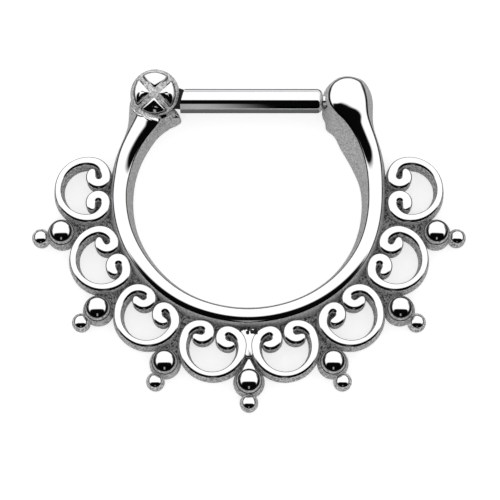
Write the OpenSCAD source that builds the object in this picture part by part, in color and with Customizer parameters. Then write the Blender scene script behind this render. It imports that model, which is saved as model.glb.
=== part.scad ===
// Septum ring with a hinged bar and a pierced fan of C-scrolls and beads.
// It lies on its back: X across, Y up towards the bar, Z towards the front face.
// The origin is under the middle of its outline.

/* [Hoop] */
// Radius of the hoop's middle line
hoop_r = 6.32; // [6.0:0.01:6.5]
// Half of the hoop's width, across the ring
hoop_half_w = 0.52; // [0.45:0.01:0.6]
// Depth of the hoop, front to back
hoop_depth = 1.5; // [1.3:0.05:1.7]
// How much narrower the hoop is at its front than at mid-depth
hoop_draft = 0.16; // [0:0.01:0.25]
// What the two arms gain in half-width where they reach their bulbs
arm_swell = 0.6; // [0.4:0.01:0.7]
// How many degrees of the hoop that swelling takes to fade
arm_fade = 15.7; // [12:0.1:20]
// How far an arm's crest leans outwards and its back inwards, beside its bulb
arm_lean = 0.18; // [0:0.01:0.2]
// How much more an arm narrows towards its crest there
arm_draft = 0.28; // [0:0.01:0.3]

/* [Bulbs] */
// Radius of the hinge bulb
hinge_bulb_r = 1.24; // [1.15:0.01:1.3]
// Direction of the hinge bulb from the ring's centre, in degrees
hinge_bulb_at = 134; // [132:0.5:137]
// Radius of the click bulb
click_bulb_r = 1.12; // [1.05:0.01:1.2]
// Direction of the click bulb from the ring's centre, in degrees
click_bulb_at = 43.5; // [42:0.5:46]
// Distance of both bulbs from the ring's centre
bulb_circle_r = 6.7; // [6.6:0.01:6.8]
// Radius of the domed button on the hinge bulb
button_r = 1.01; // [0.9:0.01:1.1]
// How far the button's pillows stand out of the bulb
button_rise = 0.1; // [0.06:0.01:0.15]
// Width of the crossed grooves between the pillows
groove_w = 0.2; // [0.12:0.01:0.3]

/* [Bar and hinge] */
// Diameter of the bar, 16 gauge
bar_d = 1.2; // [1.1:0.01:1.3]
// Height of the bar's axis above the ring's centre line
bar_y = 4.47; // [4.4:0.01:4.55]
// Distance from the hinge pin to the bar's shoulder
shoulder_x = 1.45; // [1.4:0.01:1.6]
// Distance from the hinge pin to the bar's free end
bar_reach = 8.3; // [8.2:0.01:8.35]
// Length of the nub that clicks into the bulb
nub_length = 0.6; // [0.3:0.01:0.7]
// Diameter of that nub
nub_d = 0.6; // [0.4:0.01:0.7]
// Thickness of the flat tongue on the pin
tongue_t = 0.6; // [0.5:0.01:0.7]
// Diameter of the hinge pin
pin_d = 0.5; // [0.4:0.01:0.6]
// Gap round the pin in the tongue, and beside the tongue in its slot
running_gap = 0.03; // [0.02:0.005:0.06]

/* [Scrolls] */
// Number of C-scrolls in the fan
scroll_count = 8; // [4:2:8]
// Angle between neighbours, in degrees
scroll_pitch = 25.714; // [25.5:0.001:26.2]
// Distance of the scrolls' centres from the ring's centre
scroll_circle_r = 7.97; // [7.9:0.01:8.05]
// Radius of a scroll's main arc, at the middle of its band
scroll_r = 1.45; // [1.4:0.01:1.48]
// Radius of the shoulder between the main arc and the volute
scroll_shoulder_r = 0.817; // [0.8:0.001:0.83]
// Radius of the volute
volute_r = 0.37; // [0.36:0.001:0.38]
// Turn of the main arc from the scroll's outermost point, in degrees
main_turn = 99; // [97:1:101]
// Turn of the shoulder, in degrees
shoulder_turn = 76; // [74:1:78]
// Turn of the volute, in degrees
volute_turn = 222; // [200:1:226]
// Width of the band on the main arc
band_w = 0.38; // [0.3:0.01:0.42]
// Width of the band in the volute
volute_band_w = 0.42; // [0.34:0.01:0.44]
// Depth of the scrolls' front face above the table
scroll_top = 1.2; // [1:0.01:1.4]

/* [Web] */
// Depth of the rough web's surface above the table
web_top = 0.62; // [0.4:0.01:0.8]
// Depth of the fan's flat back above the table
fan_back = 0.06; // [0.04:0.01:0.1]

/* [Beads] */
// Number of bead pairs, one pair between neighbouring scrolls
bead_pairs = 7; // [3:2:7]
// Distance of the large beads from the ring's centre
large_bead_at = 9.47; // [9.4:0.01:9.55]
// Radius of a large bead
large_bead_r = 0.58; // [0.5:0.01:0.65]
// Height of a large bead's centre above the table
large_bead_z = 0.98; // [0.9:0.01:1.1]
// Radius of the collar under a large bead
collar_r = 0.8; // [0.7:0.01:0.85]
// Distance of the small beads from the ring's centre
small_bead_at = 10.5; // [10.4:0.01:10.6]
// Radius of a small bead
small_bead_r = 0.48; // [0.4:0.01:0.52]
// Height of a small bead's centre above the table
small_bead_z = 0.56; // [0.5:0.01:0.7]

/* [Hidden] */
$fn = 48;

// Places of the pieces, from the ring's centre
hinge_at = bulb_circle_r * [cos(hinge_bulb_at), sin(hinge_bulb_at)];
bar_z = hinge_bulb_r;
pin_foot = 0.12;
pin_end = bar_z + 0.78;
pin_hole_d = pin_d + 0.02;
bar_drop = bar_y - hinge_at[1];

// Moves the ring's centre so that the outline's middle is the origin
top_reach = hinge_at[1] + hinge_bulb_r;
ring_y = (small_bead_at + small_bead_r - top_reach) / 2;

// The hoop's cross-sections
section_sides = 20;
row_step = 5;
cap_rows = 5;
square_power = 2.5;
bulb_pull_fade = 7;
lean_middle = 17;
lean_spread = 12;
cap_reach = 84;
arm_start = hinge_bulb_at;
arm_end = 360 + click_bulb_at;

function mix(a, b, t) = a + (b - a) * t;
function signed_power(v, p) = sign(v) * pow(abs(v), p);

// How far a place on the hoop is from its nearer bulb, in degrees; under 0 beyond the bulb's centre
function from_bulb(a) = min(a - arm_start, arm_end - a);
function bulb_r(a) = a < 270 ? hinge_bulb_r : click_bulb_r;
// 1 at a bulb and 0 far from it
function near_bulb(a) = exp(-max(from_bulb(a), 0) / arm_fade);
function ball_half_w(a) =
    let (along = bulb_circle_r * sin(min(abs(from_bulb(a)), 60)))
    sqrt(max(pow(bulb_r(a), 2) - along * along, 0));
function arm_half_w(a) = from_bulb(a) < 0 ? 0 : hoop_half_w + arm_swell * near_bulb(a);
function row_half_w(a) = max(ball_half_w(a), arm_half_w(a));
function row_half_d(a) = from_bulb(a) < 0
    ? ball_half_w(a)
    : mix(hoop_depth / 2, bulb_r(a), near_bulb(a));
function row_mid_z(a) = from_bulb(a) < 0 ? bulb_r(a) : row_half_d(a);
function row_r(a) =
    mix(hoop_r, bulb_circle_r, from_bulb(a) < 0 ? 1 : exp(-from_bulb(a) / bulb_pull_fade))
    - arm_lean / 2 * leaning(a);
// 1 where the arms lean most, a little way from their bulbs
function leaning(a) = from_bulb(a) < 0 ? 0 : exp(-pow((from_bulb(a) - lean_middle) / lean_spread, 2));

// One cross-section of the hoop: rounded, and narrower at the front away from the bulbs
function row_points(a) = [
    for (i = [0:section_sides - 1])
        let (turn = 360 * i / section_sides,
             power = 2 / mix(square_power, 2, near_bulb(a)),
             z = signed_power(sin(turn), power),
             taper = 1 - (hoop_draft * (1 - near_bulb(a)) + arm_draft * leaning(a)) * z,
             r = row_r(a) + arm_lean * leaning(a) * z
                 + row_half_w(a) * taper * signed_power(cos(turn), power))
        [r * cos(a), r * sin(a), row_mid_z(a) + row_half_d(a) * z]
];

// The rows of the round ends, spaced like the parallels of a ball
function cap_turns(r) = [for (i = [1:cap_rows]) asin(r * sin(i * cap_reach / cap_rows) / bulb_circle_r)];
row_angles = concat(
    [for (i = [cap_rows - 1:-1:0]) arm_start - cap_turns(hinge_bulb_r)[i]],
    [arm_start, arm_start + 2.5],
    [for (a = [arm_start + row_step:row_step:arm_end - row_step]) a],
    [arm_end - 2.5, arm_end],
    [for (t = cap_turns(click_bulb_r)) arm_end + t]
);

module hoop() {
    rows = len(row_angles);
    points = [for (a = row_angles) each row_points(a)];
    sides = section_sides;
    walls = [
        for (row = [0:rows - 2], i = [0:sides - 1])
            let (a = row * sides + i, b = row * sides + (i + 1) % sides)
            each [[a, b, b + sides], [a, b + sides, a + sides]]
    ];
    first_end = [for (i = [sides - 1:-1:0]) i];
    last_end = [for (i = [0:sides - 1]) (rows - 1) * sides + i];
    polyhedron(points, concat(walls, [first_end, last_end]));
}

// The button on the hinge bulb: four pillows, which crossed grooves part down to the bulb's surface
module button() {
    pillow_ball_r = hinge_bulb_r + button_rise;
    translate([0, 0, bar_z])
        difference() {
            intersection() {
                cylinder(r = button_r, h = 2 * pillow_ball_r);
                sphere(r = pillow_ball_r);
            }
            for (turn = [42, 132])
                rotate(turn) cube([4 * button_r, groove_w, 4 * pillow_ball_r], center = true);
        }
}

// Room for the tongue between the hinge bulb's two cheeks: it opens upwards for the bar's swing,
// towards the bar, and down the inner side of the arm
module tongue_slot() {
    clear_r = bar_d / 2 + 0.12;
    slot_t = tongue_t + 2 * running_gap;
    slot_foot = [0.05, -1.9];
    reach = 3;
    translate([0, 0, bar_z - slot_t / 2]) {
        cylinder(r = clear_r, h = slot_t);
        translate([-clear_r, 0, 0]) cube([reach, reach, slot_t]);
        translate(slot_foot) cube([reach, reach, slot_t]);
    }
}

// The groove that the nub swings out of, round the hinge axis
module nub_groove() {
    nub_room = 0.08;
    groove_start = bar_reach - 0.4;
    groove_end = bar_reach + nub_length + 2 * nub_room;
    first_angle = -5;
    last_angle = 19;
    rotate_extrude(angle = last_angle - first_angle, start = first_angle)
        translate([groove_start, bar_z - nub_d / 2 - nub_room])
            square([groove_end - groove_start, nub_d + 2 * nub_room]);
}

// A scroll's three arcs, each tangent to the next: centre, radius, first and last angle, half-width
main_centre = [0, 0];
shoulder_centre = (scroll_r - scroll_shoulder_r) * [cos(main_turn), sin(main_turn)];
volute_start = main_turn + shoulder_turn;
volute_centre = shoulder_centre
    + (scroll_shoulder_r - volute_r) * [cos(volute_start), sin(volute_start)];
volute_end = volute_start + volute_turn;
scroll_stations = concat(
    [for (a = [0:9:main_turn - 4]) [main_centre, scroll_r, a, band_w / 2]],
    [for (a = [main_turn:11:volute_start - 4])
        [shoulder_centre, scroll_shoulder_r, a,
         mix(band_w, volute_band_w, (a - main_turn) / shoulder_turn) / 2]],
    [for (a = [volute_start:18:volute_end]) [volute_centre, volute_r, a, volute_band_w / 2]]
);
tip_steps = 5;

function beside(station, side) =
    station[0] + (station[1] + side * station[3]) * [cos(station[2]), sin(station[2])];
function half_outline() =
    let (last = scroll_stations[len(scroll_stations) - 1],
         tip = last[0] + last[1] * [cos(last[2]), sin(last[2])])
    concat(
        [for (s = scroll_stations) beside(s, 1)],
        [for (i = [1:tip_steps]) tip + last[3] * [cos(last[2] + 180 * i / (tip_steps + 1)),
                                                  sin(last[2] + 180 * i / (tip_steps + 1))]],
        [for (i = [len(scroll_stations) - 1:-1:0]) beside(scroll_stations[i], -1)]
    );

module scroll() {
    half = half_outline();
    outline = concat(half, [for (i = [len(half) - 2:-1:1]) [half[i][0], -half[i][1]]]);
    translate([0, 0, fan_back]) linear_extrude(scroll_top - fan_back) polygon(outline);
}

// Puts children at each scroll's centre, with X pointing away from the ring
module at_scrolls() {
    for (i = [0:scroll_count - 1])
        rotate(270 + (i - (scroll_count - 1) / 2) * scroll_pitch)
            translate([scroll_circle_r, 0, 0]) children();
}

// Turns children to each notch between neighbouring scrolls, with X pointing away from the ring
module at_notches() {
    for (i = [0:bead_pairs - 1])
        rotate(270 + (i - (bead_pairs - 1) / 2) * scroll_pitch) children();
}

module ring_sector(from_r, to_r, half_angle) {
    rotate_extrude(angle = 2 * half_angle, start = -half_angle)
        translate([from_r, fan_back]) square([to_r - from_r, web_top - fan_back]);
}

// The rough metal left between the scrolls, the volutes and the hoop
module web() {
    fan_half_angle = (scroll_count / 2 - 0.5) * scroll_pitch + 7;
    volute_line_r = scroll_circle_r - 0.54;
    notch_r = scroll_circle_r + 1.05;
    notch_half_angle = 5.8;
    opening_r = scroll_r - 0.12;
    opening_foot = -0.58;
    through = 4;
    difference() {
        union() {
            rotate(270) ring_sector(hoop_r, volute_line_r, fan_half_angle);
            at_notches() ring_sector(hoop_r, notch_r, notch_half_angle);
        }
        at_scrolls()
            intersection() {
                cylinder(r = opening_r, h = through, center = true);
                translate([opening_foot, -through / 2, -through / 2]) cube(through);
            }
    }
    at_scrolls()
        for (side = [-1, 1])
            translate([volute_centre[0], side * volute_centre[1], fan_back])
                cylinder(r = volute_r + 0.1, h = web_top - fan_back);
}

module bead_pair() {
    translate([large_bead_at, 0, 0]) {
        translate([0, 0, fan_back])
            cylinder(r1 = collar_r, r2 = large_bead_r - 0.04, h = large_bead_z - fan_back);
        translate([0, 0, large_bead_z]) sphere(r = large_bead_r);
    }
    translate([small_bead_at, 0, small_bead_z]) sphere(r = small_bead_r);
}

module ring_body() {
    color("silver")
        translate([0, ring_y, 0])
            difference() {
                union() {
                    hoop();
                    web();
                    at_scrolls() scroll();
                    at_notches() bead_pair();
                    translate(hinge_at) button();
                }
                translate(hinge_at) {
                    tongue_slot();
                    nub_groove();
                    translate([0, 0, -pin_end]) cylinder(d = pin_hole_d, h = 2 * pin_end + 0.02);
                }
            }
}

// The bar lies at rest from the hinge pin towards the click bulb
module bar() {
    end_chamfer = 0.16;
    inside_bar = 0.3;
    chamfer_at = bar_reach - end_chamfer;
    tongue_w = 2 * bar_d / 3;
    color("silver")
        translate([hinge_at[0], ring_y + hinge_at[1], bar_z])
            difference() {
                union() {
                    translate([shoulder_x, bar_drop, 0]) rotate([0, 90, 0])
                        cylinder(d = bar_d, h = chamfer_at - shoulder_x);
                    translate([chamfer_at, bar_drop, 0]) rotate([0, 90, 0])
                        cylinder(d1 = bar_d, d2 = bar_d - 2 * end_chamfer, h = end_chamfer);
                    translate([bar_reach - inside_bar, bar_drop, 0]) rotate([0, 90, 0])
                        cylinder(d = nub_d, h = inside_bar + nub_length);
                    translate([0, 0, -tongue_t / 2]) cylinder(d = bar_d, h = tongue_t);
                    translate([0, bar_drop - tongue_w / 2, -tongue_t / 2])
                        cube([shoulder_x + inside_bar, tongue_w, tongue_t]);
                }
                cylinder(d = pin_d + 2 * running_gap, h = 2 * bar_d, center = true);
            }
}

module hinge_pin() {
    color("gray")
        translate([hinge_at[0], ring_y + hinge_at[1], pin_foot])
            cylinder(d = pin_d, h = pin_end - pin_foot);
}

ring_body();
bar();
hinge_pin();
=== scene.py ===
# %% [markdown]
# # A hinged septum ring in polished steel
#
# The real ring is one steel casting: a round hoop with a bulb on each arm, a fan of eight C-scrolls
# joined by a rough web, and seven pairs of beads. A straight bar turns on a pin in the left bulb.
# It lies on its back on a pale table, and the camera looks down on it, a little from below.
#
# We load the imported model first. It gives the size, the places and the moving bodies. Then each
# piece is modelled again by hand, with the bevels, drafts and polish that make steel look like steel.

# %% Load the frame
import math

import bmesh
import bpy
from mathutils import Matrix, Vector


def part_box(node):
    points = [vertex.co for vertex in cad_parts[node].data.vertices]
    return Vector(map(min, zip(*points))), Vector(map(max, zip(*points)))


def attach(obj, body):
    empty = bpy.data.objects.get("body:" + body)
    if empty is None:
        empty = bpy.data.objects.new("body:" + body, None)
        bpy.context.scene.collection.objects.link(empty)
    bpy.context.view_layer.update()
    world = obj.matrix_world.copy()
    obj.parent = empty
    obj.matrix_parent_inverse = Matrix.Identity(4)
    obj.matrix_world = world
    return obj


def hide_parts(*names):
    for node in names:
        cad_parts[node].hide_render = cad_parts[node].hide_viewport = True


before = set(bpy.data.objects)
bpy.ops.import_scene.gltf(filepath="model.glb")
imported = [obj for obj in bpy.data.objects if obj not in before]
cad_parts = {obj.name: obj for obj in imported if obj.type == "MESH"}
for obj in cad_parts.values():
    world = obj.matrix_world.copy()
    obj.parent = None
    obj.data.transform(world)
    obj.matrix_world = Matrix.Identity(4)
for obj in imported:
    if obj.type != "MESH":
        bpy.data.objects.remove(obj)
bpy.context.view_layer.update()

# %% [markdown]
# ## The ring's own centre
#
# Almost everything on the ring is set out round the middle of the hoop, as on a jeweller's drawing.
# The hinge pin is a round pin of known place, so the middle of the hoop follows from its box.

# %% Places
MM = 0.001
pin_low, pin_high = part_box("hinge_pin")
HINGE = (pin_low + pin_high) / 2
BULB_CIRCLE = 6.7
HINGE_AT = 134
CENTRE = Vector((0, HINGE.y - BULB_CIRCLE * MM * math.sin(math.radians(HINGE_AT)), 0))
print("ring centre:", tuple(round(v / MM, 3) for v in CENTRE))
print("hinge:", tuple(round(v / MM, 3) for v in HINGE))

# %% [markdown]
# ## The camera
#
# The photograph looks down almost square on the ring. The walls that face the bottom of the picture
# show and those that face the top don't, so the camera leans about eleven degrees. Walls at the
# sides show by how near it stands: a little over a hand's breadth.

# %% Camera
scene = bpy.context.scene
LEAN = math.radians(11)
DISTANCE = 110 * MM
VIEW_WIDTH = 24.45 * MM
AIM = Vector((0.05, -0.65, 1.5)) * MM

camera_data = bpy.data.cameras.new("camera")
camera_data.sensor_width = 36
camera_data.lens = 36 * DISTANCE / VIEW_WIDTH
camera_data.clip_start = 5 * MM
camera_data.clip_end = 10
camera = bpy.data.objects.new("camera", camera_data)
scene.collection.objects.link(camera)
camera.location = AIM + Vector((0, -math.sin(LEAN), math.cos(LEAN))) * DISTANCE
camera.rotation_euler = (LEAN, 0, 0)
scene.camera = camera
print("camera at", tuple(round(v / MM, 1) for v in camera.location), "mm")

# %% [markdown]
# ## Light
#
# Polished steel has no colour of its own. It shows the room, so the room is what we design: a
# white tent overhead, a dark gap where the camera looks in, and a dark edge low down all round.
# The white gives the bright faces, and the dark parts give the black shapes in them.
# The world's own shader paints that room, so nothing has to be placed near the ring.

# %% Tools for shader nodes
def add(tree, kind, at, **values):
    """Adds a shader node and sets its values by name."""
    node = tree.nodes.new(kind)
    node.location = at
    for name, value in values.items():
        if name in node.inputs:
            node.inputs[name].default_value = value
        else:
            setattr(node, name, value)
    return node


def maths(tree, at, operation, *values):
    """Adds a maths node; each value is a socket or a number."""
    node = add(tree, "ShaderNodeMath", at, operation=operation)
    for place, value in enumerate(values):
        if isinstance(value, (int, float)):
            node.inputs[place].default_value = value
        else:
            tree.links.new(value, node.inputs[place])
    return node.outputs[0]


def ramp(tree, at, value, *stops):
    """Adds a colour ramp that reads the value, with its stops from (place, grey) pairs."""
    node = add(tree, "ShaderNodeValToRGB", at)
    line = node.color_ramp
    while len(line.elements) > 1:
        line.elements.remove(line.elements[-1])
    line.elements[0].position = stops[0][0]
    line.elements[0].color = (stops[0][1],) * 3 + (1,)
    for place, grey in stops[1:]:
        line.elements.new(place).color = (grey,) * 3 + (1,)
    tree.links.new(value, node.inputs[0])
    return node.outputs[0]


def ease(tree, at, value, start, end, low=0.0, high=1.0):
    """Adds a node that eases from low to high as the value goes from start to end."""
    node = add(tree, "ShaderNodeMapRange", at, interpolation_type="SMOOTHSTEP")
    for name, number in (("From Min", start), ("From Max", end), ("To Min", low), ("To Max", high)):
        node.inputs[name].default_value = number
    tree.links.new(value, node.inputs["Value"])
    return node.outputs[0]


def tint(tree, at, colour, other):
    """Adds a node that multiplies a colour by another one, or by a grey number."""
    node = add(tree, "ShaderNodeMix", at, data_type="RGBA", blend_type="MULTIPLY")
    node.inputs[0].default_value = 1
    tree.links.new(colour, node.inputs[6])
    if isinstance(other, float):
        node.inputs[7].default_value = (other, other, other, 1)
    else:
        tree.links.new(other, node.inputs[7])
    return node.outputs[2]


# %% Room
world = bpy.data.worlds.new("tent")
scene.world = world
world.use_nodes = True
room = world.node_tree
room.nodes.clear()

direction = add(room, "ShaderNodeTexCoord", (-1200, 0)).outputs["Generated"]
split = add(room, "ShaderNodeSeparateXYZ", (-1000, 200))
room.links.new(direction, split.inputs[0])
behind = ease(room, (-1000, 500), split.outputs["Y"], 0.45, 0.85, 0.0, 0.35)
height = maths(room, (-900, 350), "ADD", split.outputs["Z"], behind)
tent = ramp(room, (-800, 200), height, (0.0, 0.006), (0.24, 0.012), (0.36, 0.80), (0.55, 1.0))

gap_turn = add(room, "ShaderNodeMapping", (-1000, -100), Rotation=(math.radians(-49), 0, 0))
gap_size = add(room, "ShaderNodeMapping", (-800, -100), Scale=(1 / 0.89, 1 / 0.73, 0))
gap_round = add(room, "ShaderNodeTexGradient", (-600, -100), gradient_type="SPHERICAL")
room.links.new(direction, gap_turn.inputs[0])
room.links.new(gap_turn.outputs[0], gap_size.inputs[0])
room.links.new(gap_size.outputs[0], gap_round.inputs[0])
gap = ramp(room, (-400, -100), gap_round.outputs[1], (0.0, 1.0), (0.08, 0.002))
both = tint(room, (-300, 100), tent, gap)
print("tent and gap:", len(room.nodes), "nodes")

# %% Card in the gap
# A grey card stands in the gap, straight in front of the ring
front = ease(room, (-800, -400), split.outputs["Y"], -0.66, -0.72)
aside = maths(room, (-800, -650), "ABSOLUTE", split.outputs["X"])
narrow = ease(room, (-600, -650), aside, 0.14, 0.0)
where_card = maths(room, (-400, -500), "MULTIPLY", front, narrow)
carded = add(room, "ShaderNodeMix", (-100, 100), data_type="RGBA")
room.links.new(where_card, carded.inputs[0])
room.links.new(both, carded.inputs[6])
carded.inputs[7].default_value = (0.36, 0.36, 0.36, 1)
print("with the card:", len(room.nodes), "nodes")

# %% What the camera sees of the room
# The steel mirrors this room, but the camera and soft light see a plain white one
light = add(room, "ShaderNodeBackground", (150, 100), Strength=1.15)
plain = add(room, "ShaderNodeBackground", (150, -100), Color=(1, 1, 1, 1), Strength=1.0)
path = add(room, "ShaderNodeLightPath", (150, 400))
soft_or_seen = maths(room, (300, 400), "MAXIMUM", path.outputs["Is Camera Ray"], path.outputs["Is Diffuse Ray"])
choose = add(room, "ShaderNodeMixShader", (400, 100))
out = add(room, "ShaderNodeOutputWorld", (600, 100))
room.links.new(carded.outputs[2], light.inputs[0])
room.links.new(soft_or_seen, choose.inputs[0])
room.links.new(light.outputs[0], choose.inputs[1])
room.links.new(plain.outputs[0], choose.inputs[2])
room.links.new(choose.outputs[0], out.inputs[0])

scene.view_settings.view_transform = "Standard"
scene.view_settings.look = "None"
print("whole room:", len(room.nodes), "nodes")

# %% Floor
bpy.ops.object.select_all(action="DESELECT")
bpy.ops.mesh.primitive_plane_add(size=1.2, location=(0, 0, 0))
floor = bpy.context.object
floor.name = "floor"
floor_paint = bpy.data.materials.new("pale_floor")
floor_paint.use_nodes = True
floor_tree = floor_paint.node_tree
paint = floor_tree.nodes["Principled BSDF"]
paint.inputs["Base Color"].default_value = (0.52, 0.52, 0.52, 1)
paint.inputs["Roughness"].default_value = 0.9
paint.inputs["Specular IOR Level"].default_value = 0.1
paint.inputs["Emission Color"].default_value = (1, 1, 1, 1)
paint.inputs["Emission Strength"].default_value = 0.62
# The steel sees the table darker than we do, as it would if a dark card lay beside it
card = add(floor_tree, "ShaderNodeBsdfDiffuse", (0, -400))
floor_place = add(floor_tree, "ShaderNodeTexCoord", (-800, -400))
floor_split = add(floor_tree, "ShaderNodeSeparateXYZ", (-600, -400))
floor_tree.links.new(floor_place.outputs["Object"], floor_split.inputs[0])
floor_far = ease(floor_tree, (-400, -400), floor_split.outputs["Y"], 9.5 * MM, 12 * MM, 0.14, 0.9)
floor_tree.links.new(floor_far, card.inputs["Color"])
ray = add(floor_tree, "ShaderNodeLightPath", (0, 400))
mirrored = add(floor_tree, "ShaderNodeMixShader", (300, 0))
floor_tree.links.new(ray.outputs["Is Glossy Ray"], mirrored.inputs[0])
floor_tree.links.new(paint.outputs[0], mirrored.inputs[1])
floor_tree.links.new(card.outputs[0], mirrored.inputs[2])
floor_tree.links.new(mirrored.outputs[0], floor_tree.nodes["Material Output"].inputs[0])
floor.data.materials.append(floor_paint)
print("floor:", len(floor_tree.nodes), "nodes")

# %% [markdown]
# ## Finishes
#
# The casting was tumbled and then buffed by hand. The buff reaches what faces up: the crests, the
# scroll faces and the domes are mirror bright, and the walls stay satin grey, with fine casting
# grain. One shader group, `worked_metal`, tells the two apart by which way the surface faces, so
# every piece has the same finish. Its outputs drive each material's own shader. Where the buffed
# part ends, it also paints a thin dark line into the colour, a painted reflection of a dark edge.

# %% Node group for worked metal
def socket(tree, name, kind, way, value=None):
    """Adds a named input or output to a node group."""
    new = tree.interface.new_socket(name=name, in_out=way, socket_type=kind)
    if value is not None:
        new.default_value = value


def noise(tree, at, vector, size_mm, detail, rough):
    """Adds a noise texture whose blobs are about size_mm across."""
    node = add(tree, "ShaderNodeTexNoise", at, Scale=1 / (size_mm * MM), Detail=detail, Roughness=rough)
    tree.links.new(vector, node.inputs["Vector"])
    return node.outputs[0]


worked = bpy.data.node_groups.new("worked_metal", "ShaderNodeTree")
socket(worked, "Buffed from", "NodeSocketFloat", "INPUT", 0.35)
socket(worked, "Buffed to", "NodeSocketFloat", "INPUT", 0.6)
socket(worked, "Satin", "NodeSocketFloat", "INPUT", 0.42)
socket(worked, "Coarse", "NodeSocketFloat", "INPUT", 1.0)
socket(worked, "Colour", "NodeSocketColor", "OUTPUT")
socket(worked, "Roughness", "NodeSocketFloat", "OUTPUT")
socket(worked, "Metal", "NodeSocketFloat", "OUTPUT")
socket(worked, "Height", "NodeSocketFloat", "OUTPUT")
given = add(worked, "NodeGroupInput", (-1200, 0))
result = add(worked, "NodeGroupOutput", (800, 0))
where = add(worked, "ShaderNodeTexCoord", (-1200, -300))
facing = add(worked, "ShaderNodeSeparateXYZ", (-1000, -200))
worked.links.new(where.outputs["Normal"], facing.inputs[0])
print("worked_metal starts with", len(worked.nodes), "nodes")

# %% How buffed each place is
grain = noise(worked, (-1000, -500), where.outputs["Object"], 0.10, 3.0, 0.7)
drift = noise(worked, (-1000, -750), where.outputs["Object"], 0.5, 2.0, 0.5)
ragged = maths(worked, (-800, -400), "MULTIPLY", grain, 0.16)
up = maths(worked, (-600, -200), "ADD", facing.outputs["Z"], ragged)
reach = add(worked, "ShaderNodeMapRange", (-400, -100))
worked.links.new(up, reach.inputs["Value"])
worked.links.new(given.outputs["Buffed from"], reach.inputs["From Min"])
worked.links.new(given.outputs["Buffed to"], reach.inputs["From Max"])
buffed = ramp(worked, (-200, 0), reach.outputs[0], (0.15, 0.0), (0.45, 1.0))
# A thin dark line painted into the colour where the buff ends: a painted reflection of the dark edge lines
painted_edge_line = ramp(worked, (-200, 450), reach.outputs[0], (0.0, 1.0), (0.16, 0.03), (0.78, 0.03), (0.95, 1.0))
print("buffed and seam:", len(worked.nodes), "nodes")

# %% What the buff changes
satin_now = maths(worked, (-200, -300), "MULTIPLY_ADD", drift, 0.14, given.outputs["Satin"])
bright_now = maths(worked, (-200, -450), "MULTIPLY_ADD", drift, 0.05, 0.02)
gloss = add(worked, "ShaderNodeMix", (100, -300), data_type="FLOAT")
worked.links.new(buffed, gloss.inputs[0])
worked.links.new(satin_now, gloss.inputs[2])
worked.links.new(bright_now, gloss.inputs[3])
worked.links.new(gloss.outputs[0], result.inputs["Roughness"])
bare = add(worked, "ShaderNodeMix", (100, -100), data_type="FLOAT")
worked.links.new(buffed, bare.inputs[0])
bare.inputs[2].default_value = 0.45
bare.inputs[3].default_value = 1.0
worked.links.new(bare.outputs[0], result.inputs["Metal"])
off_middle = maths(worked, (-700, 300), "SUBTRACT", grain, 0.5)
stronger = maths(worked, (-550, 300), "MULTIPLY", off_middle, given.outputs["Coarse"])
spread = maths(worked, (-400, 300), "ADD", stronger, 0.5)
tone = ramp(worked, (-200, 200), spread, (0.30, 0.12), (0.5, 0.58), (0.66, 0.95))
colour = add(worked, "ShaderNodeMix", (100, 200), data_type="RGBA")
worked.links.new(buffed, colour.inputs[0])
worked.links.new(tone, colour.inputs[6])
colour.inputs[7].default_value = (0.90, 0.90, 0.91, 1)
colour_with_painted_line = tint(worked, (350, 300), colour.outputs[2], painted_edge_line)
worked.links.new(colour_with_painted_line, result.inputs["Colour"])
matte = maths(worked, (-200, -650), "SUBTRACT", 1.0, buffed)
rough_height = maths(worked, (100, -650), "MULTIPLY", grain, matte)
worked.links.new(rough_height, result.inputs["Height"])
print("worked_metal:", len(worked.nodes), "nodes")


# %% Steel materials
def steel(name, buffed_from, buffed_to, satin, bump_mm, coarse=1.0, dark=None):
    """A steel that is buffed where the surface faces upwards enough. With buffed_from at 1.6 none of it is. A dark
    value darkens its colour, as painted shade.
    """
    material = bpy.data.materials.new(name)
    material.use_nodes = True
    tree = material.node_tree
    shader = tree.nodes["Principled BSDF"]
    metal = add(tree, "ShaderNodeGroup", (-500, 0), node_tree=worked)
    metal.inputs["Buffed from"].default_value = buffed_from
    metal.inputs["Buffed to"].default_value = buffed_to
    metal.inputs["Satin"].default_value = satin
    metal.inputs["Coarse"].default_value = coarse
    bump = add(tree, "ShaderNodeBump", (-250, -250), Strength=1.0, Distance=bump_mm * MM)
    tree.links.new(metal.outputs["Height"], bump.inputs["Height"])
    tree.links.new(bump.outputs[0], shader.inputs["Normal"])
    colour = metal.outputs["Colour"]
    if dark is not None:
        colour = tint(tree, (-250, 150), colour, dark)
    tree.links.new(colour, shader.inputs["Base Color"])
    tree.links.new(metal.outputs["Roughness"], shader.inputs["Roughness"])
    tree.links.new(metal.outputs["Metal"], shader.inputs["Metallic"])
    return material


buffed_steel = steel("buffed_steel", 0.52, 0.88, 0.40, 0.010, coarse=0.6)
scroll_steel = steel("scroll_steel", 0.50, 0.92, 0.42, 0.010, coarse=1.6)
ball_steel = steel("ball_steel", 0.45, 0.85, 0.40, 0.010, coarse=1.2)
nub_steel = steel("nub_steel", 0.82, 0.94, 0.40, 0.012, coarse=1.4)
wall_steel = steel("wall_steel", 1.6, 2.0, 0.40, 0.012, coarse=0.6)
rough_steel = steel("rough_steel", 1.6, 2.0, 0.42, 0.03, coarse=1.2)
# Near-black steel, painted shade: in the pillows' ledges, at the bar's coped end and among the bridge's crumbs
painted_shade_steel = steel("painted_shade_steel", 1.6, 2.0, 0.60, 0.01, dark=0.03)
# The web's colour is darkened to 0.45 as painted shade in its low recess; its coarse speckle is casting grain
web_painted_shade_steel = steel("web_painted_shade_steel", 1.6, 2.0, 0.45, 0.06, coarse=6.0, dark=0.45)
bar_steel = steel("bar_steel", -3.0, -2.6, 0.25, 0.004)
print("materials:", [m.name for m in bpy.data.materials])

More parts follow.
